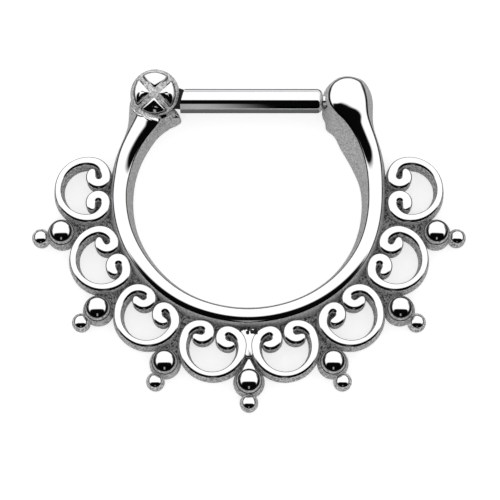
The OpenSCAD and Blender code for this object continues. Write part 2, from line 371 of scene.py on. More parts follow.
# %% [markdown]
# ## Hand tools
#
# A profile is drawn as on paper: start with one vertex, extrude it from point to point, and fill
# the outline. `sweep` then carries that profile along a path, turning and widening it on the way,
# as a pastry bag does. Two more tools come where they are first needed: `melt` at the solder line
# and `lathe` at the beads. With these four, most of a cast jewel can be built.

# %% Drawing a profile
def choose_by(piece, test, kind="FACE"):
    """In edit mode, selects only the faces, edges or vertices that pass the test."""
    bpy.ops.mesh.select_mode(type=kind)
    bpy.ops.mesh.select_all(action="DESELECT")
    mesh = bmesh.from_edit_mesh(piece.data)
    for item in {"FACE": mesh.faces, "EDGE": mesh.edges, "VERT": mesh.verts}[kind]:
        item.select = bool(test(item))
    mesh.select_flush_mode()
    bmesh.update_edit_mesh(piece.data)


def draw(name, points, closed=True):
    """Draws a chain of points by extruding one vertex, fills it if closed, and stays in edit mode."""
    bpy.ops.object.select_all(action="DESELECT")
    bpy.ops.mesh.primitive_plane_add(size=MM, location=(0, 0, 0))
    piece = bpy.context.object
    piece.name = piece.data.name = name
    bpy.ops.object.mode_set(mode="EDIT")
    bpy.ops.mesh.select_mode(type="VERT")
    bpy.ops.mesh.select_all(action="SELECT")
    bpy.ops.mesh.merge(type="CENTER")
    bpy.ops.transform.translate(value=points[0])
    for last, point in zip(points, points[1:]):
        bpy.ops.mesh.extrude_vertices_move(TRANSFORM_OT_translate={"value": Vector(point) - Vector(last)})
    if closed:
        choose_by(piece, lambda v: len(v.link_edges) == 1, "VERT")
        bpy.ops.mesh.edge_face_add()
        bpy.ops.mesh.select_all(action="SELECT")
        bpy.ops.mesh.edge_face_add()
    return piece


def tidy(piece, merge_mm=0.002):
    """Merges doubles, turns the faces outwards and leaves edit mode."""
    bpy.ops.mesh.select_all(action="SELECT")
    bpy.ops.mesh.remove_doubles(threshold=merge_mm * MM)
    bpy.ops.mesh.normals_make_consistent(inside=False)
    bpy.ops.object.mode_set(mode="OBJECT")
    return piece


# %% Finishing a piece
def only(piece):
    """Selects one piece and makes it the active one."""
    bpy.ops.object.select_all(action="DESELECT")
    piece.select_set(True)
    bpy.context.view_layer.objects.active = piece


def modify(piece, kind, **values):
    """Adds a modifier and applies it."""
    only(piece)
    modifier = piece.modifiers.new(kind.lower(), kind)
    for name, value in values.items():
        setattr(modifier, name, value)
    bpy.ops.object.modifier_apply(modifier=modifier.name)
    return piece


def subdivide(piece, levels):
    """Applies a subdivision surface."""
    return modify(piece, "SUBSURF", levels=levels, render_levels=levels)


def smooth(piece, degrees):
    """Shades smooth, but keeps edges sharper than this angle crisp."""
    only(piece)
    bpy.ops.object.shade_smooth_by_angle(angle=math.radians(degrees))
    return piece


def open_edges(piece):
    """Counts the edges that don't lie between exactly two faces."""
    mesh = bmesh.new()
    mesh.from_mesh(piece.data)
    count = sum(len(edge.link_faces) != 2 for edge in mesh.edges)
    mesh.free()
    return count


def finish(piece, body, material, stands_for=None):
    """Gives a piece its material and its place in the frame."""
    piece.data.materials.clear()
    piece.data.materials.append(material)
    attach(piece, body)
    if stands_for:
        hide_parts(stands_for)
    print(piece.name, len(piece.data.polygons), "faces on", body, "with", open_edges(piece), "open edges")
    return piece


# %% Sweeping a profile
# Shares of the profile's height where its middle and its high band of points begin
MIDDLE_FROM, HIGH_FROM = 0.3, 0.7


def toward(degrees):
    """The level direction at an angle from +X."""
    return Vector((math.cos(math.radians(degrees)), math.sin(math.radians(degrees)), 0))


def extrude(move):
    """Extrudes the selection by a vector."""
    bpy.ops.mesh.extrude_region_move(TRANSFORM_OT_translate={"value": move})


def turn(degrees, pivot, axis="Z"):
    """Turns the selection about a point; without a window the operator turns the other way round."""
    bpy.ops.transform.rotate(value=-math.radians(degrees), orient_axis=axis, orient_type="GLOBAL",
                             center_override=pivot)


def pick_vertices(piece, numbers):
    """Selects vertices by number, and the faces between them."""
    mesh = bmesh.from_edit_mesh(piece.data)
    mesh.verts.ensure_lookup_table()
    for v in mesh.verts:
        v.select = False
    for face in mesh.faces:
        face.select = False
    for edge in mesh.edges:
        edge.select = False
    for number in numbers:
        mesh.verts[number].select = True
    mesh.select_flush(True)
    bmesh.update_edit_mesh(piece.data)


def sweep(piece, start, path):
    """Carries the selected profile along a path. A stop has its place, its heading in degrees, its height,
    and for the profile's low, middle and high band of points a half-width and a sideways shift, all in mm."""
    here, rings = start, []
    for stop in path:
        move = (Vector(stop["at"]) - Vector(here["at"])) * MM
        extrude(move)
        pivot = Vector(stop["at"]) * MM
        if abs(stop["heading"] - here["heading"]) > 1e-6:
            turn(stop["heading"] - here["heading"], pivot)
        along = toward(stop["heading"])
        mesh = bmesh.from_edit_mesh(piece.data)
        ends = [v for v in mesh.verts if v.select]
        marks = [v.index for v in ends]
        levels = [here["height"] * share * MM for share in (MIDDLE_FROM, HIGH_FROM)]
        bands = [[i for i, v in zip(marks, ends) if (v.co.z > levels[0]) + (v.co.z > levels[1]) == band]
                 for band in range(3)]
        for band, members in enumerate(bands):
            (old_w, old_shift), (new_w, new_shift) = here["bands"][band], stop["bands"][band]
            if not members or (abs(old_w - new_w) < 1e-6 and abs(old_shift - new_shift) < 1e-6):
                continue
            pick_vertices(piece, members)
            grow = new_w / old_w
            bpy.ops.transform.resize(value=(grow, grow, 1), orient_type="GLOBAL",
                                     center_override=pivot + along * old_shift * MM)
            bpy.ops.transform.translate(value=along * (new_shift - old_shift) * MM)
        pick_vertices(piece, marks)
        if abs(stop["height"] - here["height"]) > 1e-6:
            bpy.ops.transform.resize(value=(1, 1, stop["height"] / here["height"]), orient_type="GLOBAL",
                                     center_override=(pivot.x, pivot.y, 0))
        rings.append((stop, marks))
        here = stop
    return rings


# %% Shaping the crest
def crown(piece, rings):
    """Rounds or flattens the crest's inner side where a stop asks for it: those points move away from or up to
    the crest line."""
    for stop, ring in rings:
        rounder = stop.get("crown", 1)
        if abs(rounder - 1) < 0.01:
            continue
        along = toward(stop["heading"])
        middle = Vector(stop["at"]) * MM + along * stop["bands"][2][1] * MM
        verts = bmesh.from_edit_mesh(piece.data).verts
        verts.ensure_lookup_table()
        pick_vertices(piece, [i for i in ring if verts[i].co.z > HIGH_FROM * stop["height"] * MM
                              and (verts[i].co - middle).dot(along) < 0])
        bpy.ops.transform.resize(value=(1, 1, rounder), orient_type="GLOBAL",
                                 center_override=(0, 0, stop["height"] * MM))
    pick_vertices(piece, rings[-1][1])


# %% Reading a curve through a table
def through(rows, x):
    """Reads a smooth curve through the rows (x, value, value...) at x."""
    if x <= rows[0][0]:
        return rows[0][1:]
    if x >= rows[-1][0]:
        return rows[-1][1:]
    i = max(n for n in range(len(rows) - 1) if rows[n][0] <= x)
    a, b = rows[i], rows[i + 1]
    before, after = rows[max(i - 1, 0)], rows[min(i + 2, len(rows) - 1)]
    step = b[0] - a[0]
    t = (x - a[0]) / step
    values = []
    for k in range(1, len(a)):
        slope_a = (b[k] - before[k]) / (b[0] - before[0]) * step
        slope_b = (after[k] - a[k]) / (after[0] - a[0]) * step
        values.append((2 * t**3 - 3 * t**2 + 1) * a[k] + (t**3 - 2 * t**2 + t) * slope_a
                      + (3 * t**2 - 2 * t**3) * b[k] + (t**3 - t**2) * slope_b)
    return tuple(values)


# %% [markdown]
# ## The hoop
#
# In section the hoop is a loaf: a flat back, walls that lean in by some nine degrees so that the
# casting leaves its mould, and a crowned crest with tight corners. Near the bulbs the loaf grows,
# its back swelling inwards while the crest stays outside. The tables give, for an angle from the
# bulb, where the back and the crest lie and how wide and high they are.

# %% Hoop's tables
CLICK_AT = 43.5
# Degrees from the bulb: back's middle, back's half-width, crest's middle, crest's half-width, height
CLICK_ARM = [(0, 6.70, 1.15, 6.70, 0.93, 2.32), (3, 6.57, 1.33, 6.60, 0.91, 2.29),
             (6.5, 6.44, 1.29, 6.50, 0.79, 2.23), (12, 6.20, 1.09, 6.34, 0.57, 2.07),
             (16.5, 6.06, 0.99, 6.30, 0.49, 1.96), (22, 6.05, 0.93, 6.29, 0.45, 1.84),
             (31, 6.105, 0.815, 6.27, 0.40, 1.655), (42, 6.215, 0.655, 6.25, 0.36, 1.53),
             (60, 6.25, 0.62, 6.25, 0.35, 1.50)]
HINGE_ARM = [(-3, 5.97, 1.03, 6.00, 0.90, 0.88), (3, 6.03, 1.01, 6.20, 0.70, 0.90),
             (5, 6.38, 1.26, 6.35, 0.50, 1.30), (7, 6.42, 1.27, 6.20, 0.60, 1.76),
             (9, 6.38, 1.16, 6.12, 0.60, 1.98), (13.6, 6.25, 0.91, 6.06, 0.54, 1.92),
             (17.8, 6.16, 0.76, 6.08, 0.49, 1.86), (22, 6.155, 0.715, 6.12, 0.46, 1.80),
             (29, 6.205, 0.675, 6.21, 0.43, 1.70), (35, 6.24, 0.65, 6.25, 0.40, 1.61),
             (42, 6.265, 0.63, 6.25, 0.36, 1.53), (60, 6.25, 0.62, 6.25, 0.35, 1.50)]
# A cast ring isn't a true circle. Direction from the centre: how far the back and the crest lie outside it
OUT_OF_ROUND = [(138, 0, 0), (150, 0, 0.02), (171, 0.03, 0.02), (180, 0.08, 0.11), (190, 0.17, 0.16),
                (200, 0.23, 0.19), (225, 0.23, 0.19), (240, 0.21, 0.17), (255, 0.14, 0.11), (270, 0.10, 0.09),
                (285, 0.12, 0.09), (300, 0.18, 0.13), (315, 0.22, 0.165), (330, 0.19, 0.16), (340, 0.12, 0.10),
                (350, 0.04, 0.03), (360, -0.02, -0.02), (374, 0, 0), (404, 0, 0)]
LOAF = {"low": [(0.80, 0.0), (0.95, 0.025), (1.0, 0.09)], "middle": [(1.0, 0.45)],
        "high": [(1.12, 0.80), (1.05, 0.89), (0.91, 0.948), (0.62, 0.978), (0.30, 0.994)]}


# %% Hoop's stops
def on_ring(radius_mm, degrees, z_mm=0.0):
    """A point at a distance and a direction from the ring's centre."""
    angle = math.radians(degrees)
    return CENTRE + Vector((radius_mm * math.cos(angle), radius_mm * math.sin(angle), z_mm)) * MM


def hoop_stop(degrees):
    """The hoop's stop at a direction from the ring's centre, in the form that sweep reads."""
    to_hinge, to_click = degrees - HINGE_AT, CLICK_AT + 360 - degrees
    back, back_w, crest, crest_w, height = through(*(
        (HINGE_ARM, to_hinge) if to_hinge < to_click else (CLICK_ARM, to_click)))
    back_more, crest_more = through(OUT_OF_ROUND, degrees)
    back, crest = back + back_more, crest + crest_more
    bulge = 0.14 * math.exp(-abs(to_click) / 4)
    middle = (back + crest) / 2
    middle_w = (back_w + 1.12 * crest_w) / 2 + bulge
    spot = on_ring(middle, degrees) / MM
    # The crest's inner side is rounder beside the click bulb and flatter beside the hinge
    rounder = 0.75 * (1 - math.exp(-(to_click / 3) ** 2)) * math.exp(-(to_click / 17) ** 2)
    flatter = 0.35 * math.exp(-(to_hinge / 26) ** 2)
    return {"at": tuple(spot), "heading": degrees, "height": height, "crown": 1 + rounder - flatter,
            "bands": ((back_w, back - middle), (middle_w, 0.0), (crest_w, crest - middle))}


def loaf_points(stop, loaf=LOAF, foot=0.0):
    """The profile's outline at a stop, from the inner foot over the crest to the outer foot."""
    along = toward(stop["heading"])
    half = []
    for band, key in enumerate(("low", "middle", "high")):
        width, shift = stop["bands"][band]
        half += [(shift, width * across, max(foot, up * stop["height"])) for across, up in loaf[key]]
    top_shift = stop["bands"][2][1]
    points = [(shift - across, z) for shift, across, z in half] + [(top_shift, stop["height"])]
    points += [(shift + across, z) for shift, across, z in reversed(half)]
    return [(Vector(stop["at"]) + along * u + Vector((0, 0, z))) * MM for u, z in points]


# %% Hoop
angles = [131, 134, 136.5, 138, 139.5, 141, 142.5, 144, 146, 148] + [150 + 4 * i for i in range(54)]
angles += [366 + 3 * i for i in range(9)] + [392, 394.5, 397, 399.5, 401.5, 403.5]
stops = [hoop_stop(a) for a in angles]
hoop = draw("hoop", loaf_points(stops[0]))
crown(hoop, sweep(hoop, stops[0], stops[1:]))
print("hoop swept through", len(stops), "stops")

# %% Click bulb's round end
# The outer half of the last outline is spun about the bulb's own axis
bulb = on_ring(BULB_CIRCLE, CLICK_AT)
outward = toward(CLICK_AT)
onward = Vector((-outward.y, outward.x, 0))
bpy.ops.mesh.delete(type="ONLY_FACE")
choose_by(hoop, lambda e: all(abs((v.co - bulb).dot(onward)) < 1e-6 and (v.co - bulb).dot(outward) > -1e-6
                              for v in e.verts) and e.is_boundary, "EDGE")
bpy.ops.mesh.spin(steps=16, angle=math.radians(-180), center=bulb, axis=(0, 0, 1))
tidy(hoop, 0.01)
bpy.ops.object.mode_set(mode="EDIT")
choose_by(hoop, lambda e: e.is_boundary, "EDGE")
bpy.ops.mesh.edge_face_add()
tidy(hoop)
print("hoop's open edges:", open_edges(hoop))


# %% Click bulb's flare
def pull(piece, spot, reach_mm, low_mm, high_mm, move_mm, soft_mm):
    """Pulls the vertices near a spot, and what is within soft_mm follows softly."""
    bpy.ops.object.mode_set(mode="EDIT")
    choose_by(piece, lambda v: low_mm * MM <= v.co.z <= high_mm * MM
              and (v.co - spot).xy.length < reach_mm * MM, "VERT")
    bpy.ops.transform.translate(value=Vector(move_mm) * MM, use_proportional_edit=True,
                                proportional_edit_falloff="SMOOTH", proportional_size=soft_mm * MM)
    bpy.ops.object.mode_set(mode="OBJECT")


# The bulb isn't quite round: its foot flares on both sides, and the dome falls off towards the opening
pull(hoop, on_ring(7.87, 41), 0.45, 0, 1.2, (0.09, 0.06, 0), 1.1)
pull(hoop, on_ring(5.55, 44), 0.32, 0, 0.7, (-0.22, -0.20, 0), 0.7)
pull(hoop, bulb, 1.05, 1.6, 3, (0.01, -0.09, 0), 0.5)
subdivide(hoop, 2)
smooth(hoop, 60)
finish(hoop, "ring", buffed_steel, "ring_body")

# %% [markdown]
# ## The hinge bulb
#
# The left bulb is a ball with a slot for the bar's tongue, and the bar's nub sweeps through a room
# in the other bulb. A dark patch could hint at both from the front, but the bar has to turn through
# them. So each room is drawn as a block and cut out, the slot through both the bulb and the arm.

# %% Slot block
BAR_Z = 1.24 * MM
SLOT_GAP = 0.66
SLOT_R = 0.72


def slot_block(name):
    """The room that the tongue needs: round the pin, up, towards the bar and down the arm's inner side."""
    outline = [(-SLOT_R, 3), (3, 3), (3, -1.9), (0.05, -1.9)]
    outline += [(SLOT_R * math.cos(math.radians(a)), SLOT_R * math.sin(math.radians(a)))
                for a in range(274, 181, -6)]
    low = BAR_Z / MM - SLOT_GAP / 2
    block = draw(name, [Vector((HINGE.x / MM + x, HINGE.y / MM + y, low)) * MM for x, y in outline])
    bpy.ops.mesh.select_all(action="SELECT")
    extrude((0, 0, SLOT_GAP * MM))
    return tidy(block)


# %% Nub room
NUB_ROOM_HALF = 0.38
BULB_MIDDLE = Vector((HINGE.x, HINGE.y, BAR_Z))


def spin(middle, steps, degrees=360, axis=(0, 0, 1)):
    """Spins the whole drawing about an axis through the middle."""
    bpy.ops.mesh.select_all(action="SELECT")
    bpy.ops.mesh.spin(steps=steps, angle=math.radians(degrees), center=middle, axis=axis)


def nub_room(name):
    """The curved room that the bar's nub sweeps through as it clicks into its bulb."""
    along = toward(-5)
    corners = ((7.9, -NUB_ROOM_HALF), (9.06, -NUB_ROOM_HALF), (9.06, NUB_ROOM_HALF), (7.9, NUB_ROOM_HALF))
    block = draw(name, [BULB_MIDDLE + along * r * MM + Vector((0, 0, z * MM)) for r, z in corners])
    spin(BULB_MIDDLE, 12, -24)
    tidy(block)
    print(name, "has", open_edges(block), "open edges and ends at", [round(v / MM, 2) for v in block.bound_box[6]])
    return block


# %% Hinge bulb
HINGE_BALL = 1.24


def combine(piece, other, operation):
    """Joins another piece to this one (UNION) or cuts it out (DIFFERENCE), and throws the other away."""
    modify(piece, "BOOLEAN", operation=operation, object=other, solver="EXACT")
    bpy.data.objects.remove(other)
    return piece


bpy.ops.object.select_all(action="DESELECT")
bpy.ops.mesh.primitive_uv_sphere_add(segments=96, ring_count=64, radius=HINGE_BALL * MM, location=BULB_MIDDLE)
hinge_bulb = bpy.context.object
hinge_bulb.name = hinge_bulb.data.name = "hinge_bulb"
bpy.ops.object.transform_apply(location=True, rotation=True, scale=True)
combine(hinge_bulb, slot_block("slot_tool"), "DIFFERENCE")
combine(hoop, slot_block("slot_tool"), "DIFFERENCE")
combine(hoop, nub_room("nub_tool"), "DIFFERENCE")
smooth(hinge_bulb, 40)
smooth(hoop, 50)
finish(hinge_bulb, "ring", rough_steel)
# The wheel doesn't reach round the ball, where the arm keeps its cast skin, nor the hoop's walls
CAST_SKIN_R, WALL_SHARE = 1.40, 0.78
hoop.data.materials.append(rough_steel)
hoop.data.materials.append(wall_steel)
for face in hoop.data.polygons:
    spot = face.center - CENTRE
    degrees = math.degrees(math.atan2(spot.y, spot.x))
    if (face.center - HINGE).xy.length < CAST_SKIN_R * MM:
        face.material_index = 1
    elif face.center.z < WALL_SHARE * MM * hoop_stop(degrees if degrees > 90 else degrees + 360)["height"]:
        face.material_index = 2

# %% [markdown]
# ## The solder line
#
# A ragged line of solder runs across the arm where the ball was set on it. It could be carved into
# the arm, but solder is metal that ran together in beads. So small uneven lumps are laid in a row,
# and `melt` joins them into one skin.

# %% Solder line
def melt(name, pieces, voxel_mm):
    """Joins pieces that overlap and melts them into one closed skin with an even mesh."""
    bpy.ops.object.select_all(action="DESELECT")
    for piece in pieces:
        piece.select_set(True)
    bpy.context.view_layer.objects.active = pieces[0]
    bpy.ops.object.join()
    bpy.ops.object.transform_apply(location=True, rotation=True, scale=True)
    melted = pieces[0]
    melted.name = melted.data.name = name
    modify(melted, "REMESH", mode="VOXEL", voxel_size=voxel_mm * MM)
    return smooth(melted, 180)


def crumb(spot, radius_mm):
    """A small lump of metal, as solder or a casting leaves it."""
    bpy.ops.object.select_all(action="DESELECT")
    bpy.ops.mesh.primitive_ico_sphere_add(subdivisions=2, radius=radius_mm * MM, location=spot)
    return bpy.context.object


crumbs = []
for step in range(17):
    way = math.radians(224 + 58 * step / 16)
    far = (1.40 + 0.007 * step + 0.03 * math.sin(7 * step)) * MM
    rise = 1.92 - 0.16 * ((step - 8) / 8) ** 2 - 0.25 * max(0, step - 13) / 3
    crumbs.append(crumb((HINGE.x + far * math.cos(way), HINGE.y + far * math.sin(way), rise * MM),
                        0.066 + 0.022 * math.sin(5 * step + 1)))
solder = melt("solder_line", crumbs, 0.018)
finish(solder, "ring", ball_steel)

# %% [markdown]
# ## The button
#
# On the bulb's front sits a round button, parted by two crossed grooves into four pillows. Grooves
# cut into a dome would leave quarters with sharp rims. So each pillow's outline is drawn on a
# slightly larger ball and extruded in small steps that shrink, and it puffs up like a cushion.

# %% One pillow
BUTTON_R = 1.00
BUTTON_BALL = 2.4
BUTTON_TOP = 1.16
BUTTON_LEAN = 11
GROOVE_HALF = 0.13


def pillow(name, heading):
    """One quarter of the button, in the direction heading from the bulb's middle, puffed up like a cushion."""
    reach = math.sqrt(BUTTON_R ** 2 - GROOVE_HALF ** 2)
    rim = 45 - math.degrees(math.asin(GROOVE_HALF / BUTTON_R))
    side = [(math.hypot(GROOVE_HALF, s), 45 - math.degrees(math.atan2(GROOVE_HALF, s)))
            for s in (GROOVE_HALF + (reach - GROOVE_HALF) * i / 5 for i in range(5))]
    arc = [(BUTTON_R, rim * (i / 3 - 1)) for i in range(7)]
    outline = [(r, -a) for r, a in side] + arc + [(r, a) for r, a in reversed(side[1:])]
    points = [BULB_MIDDLE + Vector((r * math.cos(math.radians(heading + a)), r * math.sin(math.radians(heading + a)),
                                    BUTTON_TOP - r ** 2 / (2 * BUTTON_BALL))) * MM for r, a in outline]
    piece = draw(name, points)
    up = (Vector((0, 0, 1)) + toward(heading) * 0.6 / BUTTON_BALL).normalized() * MM
    centre = sum(points, Vector()) / len(points)
    last_share = 1
    for share, rise in ((1.0, 0.05), (0.97, 0.04), (0.90, 0.035), (0.74, 0.028), (0.50, 0.022), (0.24, 0.008)):
        extrude(up * rise)
        centre = centre + up * rise
        bpy.ops.transform.resize(value=(share / last_share,) * 3, center_override=centre)
        last_share = share
    choose_by(piece, lambda f: f.calc_center_median().z < centre.z - 0.1 * MM and len(f.verts) > 5)
    foot = sum(points, Vector()) / len(points)
    extrude((0, 0, -0.02 * MM))
    bpy.ops.transform.resize(value=(1.15, 1.15, 1), center_override=foot)
    extrude((0, 0, -0.36 * MM))
    bpy.ops.mesh.select_all(action="SELECT")
    turn(BUTTON_LEAN, BULB_MIDDLE, "X")
    tidy(piece, 0.004)
    subdivide(piece, 2)
    return smooth(piece, 180)


# %% Button's boss
# Under the pillows lies a turned boss, the floor of the grooves: half its outline is spun round the ball's axis
BOSS = [(0, 1.06), (0.5, 1.01), (0.9, 0.90), (0.97, 0.84), (0.99, 0.74), (0.93, 0.60), (0, 0.60)]
boss = draw("button_boss", [BULB_MIDDLE + Vector((radius, 0, rise)) * MM for radius, rise in BOSS], closed=False)
spin(BULB_MIDDLE, 48)
bpy.ops.mesh.select_all(action="SELECT")
turn(BUTTON_LEAN, BULB_MIDDLE, "X")
tidy(boss, 0.001)
subdivide(boss, 1)
smooth(boss, 50)
finish(boss, "ring", rough_steel)

# %% Pillows
# Each pillow has a narrow ledge at its foot, coloured near black as painted shade: it draws the thin dark line round
# it
upright = Matrix.Rotation(-math.radians(BUTTON_LEAN), 3, "X")
for number, heading in enumerate((87, 177, 267, 357)):
    piece = finish(pillow(f"pillow_{number + 1}", heading), "ring", bar_steel)
    piece.data.materials.append(painted_shade_steel)
    for face in piece.data.polygons:
        spot = upright @ (face.center - BULB_MIDDLE)
        base = (BUTTON_TOP - (spot.xy.length / MM) ** 2 / (2 * BUTTON_BALL)) * MM
        face.material_index = int(spot.z < base + 0.004 * MM)

# %% [markdown]
# ## The scrolls
#
# One C-scroll is a band that follows three arcs, each tangent to the next: a wide one outside, a
# tighter shoulder, and a volute that curls in to a round tip. Half of it is swept, and a mirror
# modifier makes the other half. Eight copies stand round the hoop, each with a mesh of its own.

# %% Scroll path
SCROLL_TOP = 1.2
MAIN_R, SHOULDER_R, VOLUTE_R = 1.45, 0.817, 0.37
MAIN_END, SHOULDER_END = 99, 175
# Turn along the band: half-width at the foot, half-width of the face
SCROLL_BAND = [(0, 0.27, 0.150), (45, 0.29, 0.170), (99, 0.32, 0.205), (140, 0.31, 0.225), (175, 0.29, 0.225),
               (230, 0.28, 0.24), (300, 0.285, 0.245), (370, 0.26, 0.235), (390, 0.24, 0.21), (405, 0.20, 0.17),
               (414, 0.15, 0.12), (420, 0.07, 0.04)]


def arc_point(centre, radius, degrees):
    """A point of an arc."""
    return Vector((centre[0] + radius * math.cos(math.radians(degrees)),
                   centre[1] + radius * math.sin(math.radians(degrees)), 0))


shoulder_at = arc_point((0, 0), MAIN_R - SHOULDER_R, MAIN_END)
volute_at = shoulder_at + arc_point((0, 0), SHOULDER_R - VOLUTE_R, SHOULDER_END)


def scroll_stop(degrees):
    """The band's stop at a turn from the scroll's outermost point, with the scroll's middle at the origin."""
    centre, radius = (0, 0, 0), MAIN_R
    if degrees > MAIN_END:
        centre, radius = shoulder_at, SHOULDER_R
    if degrees > SHOULDER_END:
        centre, radius = volute_at, VOLUTE_R
    foot, face = through(SCROLL_BAND, degrees)
    return {"at": tuple(arc_point(centre, radius, degrees)), "heading": degrees, "height": SCROLL_TOP,
            "bands": ((foot, 0.0), ((foot + face * 1.15) / 2, 0.0), (face, 0.0))}


# %% One scroll
SCROLL_FOOT = 0.06
BAND = {"low": [(0.9, 0.0), (1.0, 0.1)], "middle": [(1.0, 0.5)],
        "high": [(1.12, 0.86), (1.07, 0.94), (0.84, 0.98), (0.5, 0.994)]}
turns = [4.5 * i for i in range(22)] + [103 + 6 * i for i in range(12)] + [175 + 9 * i for i in range(24)]
turns += [390, 398, 405, 411, 416, 420]
band_stops = [scroll_stop(t) for t in turns]
scroll = draw("scroll_1", loaf_points(band_stops[0], BAND, SCROLL_FOOT))
sweep(scroll, band_stops[0], band_stops[1:])
choose_by(scroll, lambda f: all(abs(v.co.y) < 1e-7 for v in f.verts))
bpy.ops.mesh.delete(type="ONLY_FACE")
bpy.ops.object.mode_set(mode="OBJECT")
modify(scroll, "MIRROR", use_axis=(False, True, False), use_clip=True, merge_threshold=0.002 * MM)
bpy.ops.object.mode_set(mode="EDIT")
tidy(scroll, 0.004)
subdivide(scroll, 1)
smooth(scroll, 60)
print("one scroll:", len(scroll.data.polygons), "faces with", open_edges(scroll), "open edges")

# %% Scrolls round the hoop
SCROLL_CIRCLE = 7.97
SCROLL_PITCH = 180 / 7
SCROLL_HEADINGS = [270 + (number - 3.5) * SCROLL_PITCH for number in range(8)]


def place_round(piece, name, heading):
    """Copies a piece with its own mesh and turns it about the ring's centre, from +X to the heading."""
    copy = piece.copy()
    copy.data = piece.data.copy()
    copy.name = copy.data.name = name
    scene.collection.objects.link(copy)
    only(copy)
    copy.location = CENTRE
    copy.rotation_euler = (0, 0, math.radians(heading))
    bpy.ops.object.transform_apply(location=True, rotation=True, scale=True)
    return copy


only(scroll)
scroll.location = (SCROLL_CIRCLE * MM, 0, 0)
bpy.ops.object.transform_apply(location=True, rotation=True, scale=True)
for number, heading in enumerate(SCROLL_HEADINGS, 1):
    finish(place_round(scroll, f"c_scroll_{number}", heading), "ring", scroll_steel)
bpy.data.objects.remove(scroll)

# %% [markdown]
# ## The beads
#
# In each notch between two scrolls a large bead stands on a drafted collar, and a small ball is
# cast on beyond it. Both are turned shapes, so half a profile is drawn and spun round its axis. The
# buff has only touched their tops.

# %% Beads
def lathe(name, profile, spot, steps):
    """Spins a half profile, given as (radius, height) pairs, round an upright axis."""
    middle = Vector(spot) * MM
    piece = draw(name, [middle + Vector((radius, 0, height)) * MM for radius, height in profile], closed=False)
    spin(middle, steps)
    return tidy(piece, 0.001)


# Half profiles: radius, height
DOME = [(0, 0.06), (0.78, 0.06), (0.80, 0.10), (0.66, 0.86), (0.64, 0.93), (0.600, 0.96), (0.592, 1.04),
        (0.580, 1.14), (0.552, 1.25), (0.50, 1.35), (0.42, 1.43), (0.31, 1.487), (0.20, 1.515), (0.10, 1.528),
        (0, 1.532)]
BALL = [(0, 0.06), (0.36, 0.06), (0.43, 0.10), (0.450, 0.30), (0.458, 0.50), (0.455, 0.62), (0.43, 0.76),
        (0.385, 0.88), (0.30, 0.965), (0.20, 1.015), (0.10, 1.035), (0, 1.04)]
LARGE_AT, SMALL_AT = 9.47, 10.52
NOTCH_HEADINGS = [270 + (number - 3) * SCROLL_PITCH for number in range(7)]
large = lathe("bead", DOME, (LARGE_AT, 0, 0), 40)
subdivide(large, 1)
smooth(large, 40)
small = lathe("ball", BALL, (SMALL_AT, 0, 0), 32)
subdivide(small, 1)
smooth(small, 60)
for number, heading in enumerate(NOTCH_HEADINGS, 1):
    finish(place_round(large, f"large_bead_{number}", heading), "ring", ball_steel)
    finish(place_round(small, f"small_bead_{number}", heading), "ring", nub_steel)
bpy.data.objects.remove(large)
bpy.data.objects.remove(small)

# %% [markdown]
# ## The web
#
# Between the scrolls lies the floor of the mould: rough metal at a lower level that ties hoop,
# scrolls and beads together. Simple blocks are laid over each other and joined, and a voxel remesh
# melts them into one skin with an even mesh. A displace modifier then gives it the pits and grains
# of a casting that no wheel has touched.

# %% Web
WEB_TOP = 0.62


def sector(name, from_r, to_r, middle, half, top=WEB_TOP, steps=8):
    """A block of a ring, between two radii and over an angle each side of the middle."""
    piece = draw(name, [on_ring(r, middle - half, z) for r, z in
                        ((from_r, SCROLL_FOOT), (to_r, SCROLL_FOOT), (to_r, top), (from_r, top))])
    spin(CENTRE, steps, -2 * half)
    return tidy(piece)


blocks = [sector("web_ring", 6.30, 7.40, 270, 97, steps=90)]
for heading in NOTCH_HEADINGS:
    blocks.append(sector("web_neck", 7.2, 8.3, heading, 3.3, WEB_TOP + 0.02))
    blocks.append(sector("web_arm", 8.1, 8.6, heading, 3.6, WEB_TOP))
    blocks.append(sector("web_arm", 8.5, 9.1, heading, 4.7, WEB_TOP - 0.04))
for heading in SCROLL_HEADINGS:
    for side in (-1, 1):
        local = Vector((SCROLL_CIRCLE + volute_at.x, side * volute_at.y))
        aside_by = math.degrees(math.atan2(local.y, local.x))
        spot = on_ring(local.length, heading + aside_by, (WEB_TOP + SCROLL_FOOT) / 2)
        bpy.ops.object.select_all(action="DESELECT")
        bpy.ops.mesh.primitive_cylinder_add(vertices=32, radius=0.5 * MM, depth=(WEB_TOP - SCROLL_FOOT) * MM,
                                            location=spot)
        blocks.append(bpy.context.object)
web = melt("web", blocks, 0.05)
grains = bpy.data.textures.new("casting_grain", "CLOUDS")
grains.noise_scale = 0.16 * MM
grains.noise_depth = 2
modify(web, "DISPLACE", texture=grains, texture_coords="LOCAL", strength=0.12 * MM, mid_level=0.5)
smooth(web, 180)
# The web's material darkens its colour, painted shade where it lies low between the scrolls
finish(web, "ring", web_painted_shade_steel)

# %% [markdown]
# ## The bridge and the wedge
#
# The two scrolls at the bottom are joined by a raised, buffed bridge, and a small wedge fills the
# corner over the middle bead. In the web's even mesh their edges would go soft, so they are pieces
# of their own: outlines that are drawn, extruded and bevelled.

# %% Bridge and wedge
def raised(name, points_mm, top):
    """A block over an outline round the middle line, with bevelled corners."""
    piece = draw(name, [CENTRE + Vector((x, y, SCROLL_FOOT)) * MM for x, y in points_mm])
    bpy.ops.mesh.select_all(action="SELECT")
    extrude((0, 0, (top - SCROLL_FOOT) * MM))
    tidy(piece)
    modify(piece, "BEVEL", width=0.045 * MM, segments=3, limit_method="ANGLE", angle_limit=math.radians(60))
    return smooth(piece, 50)


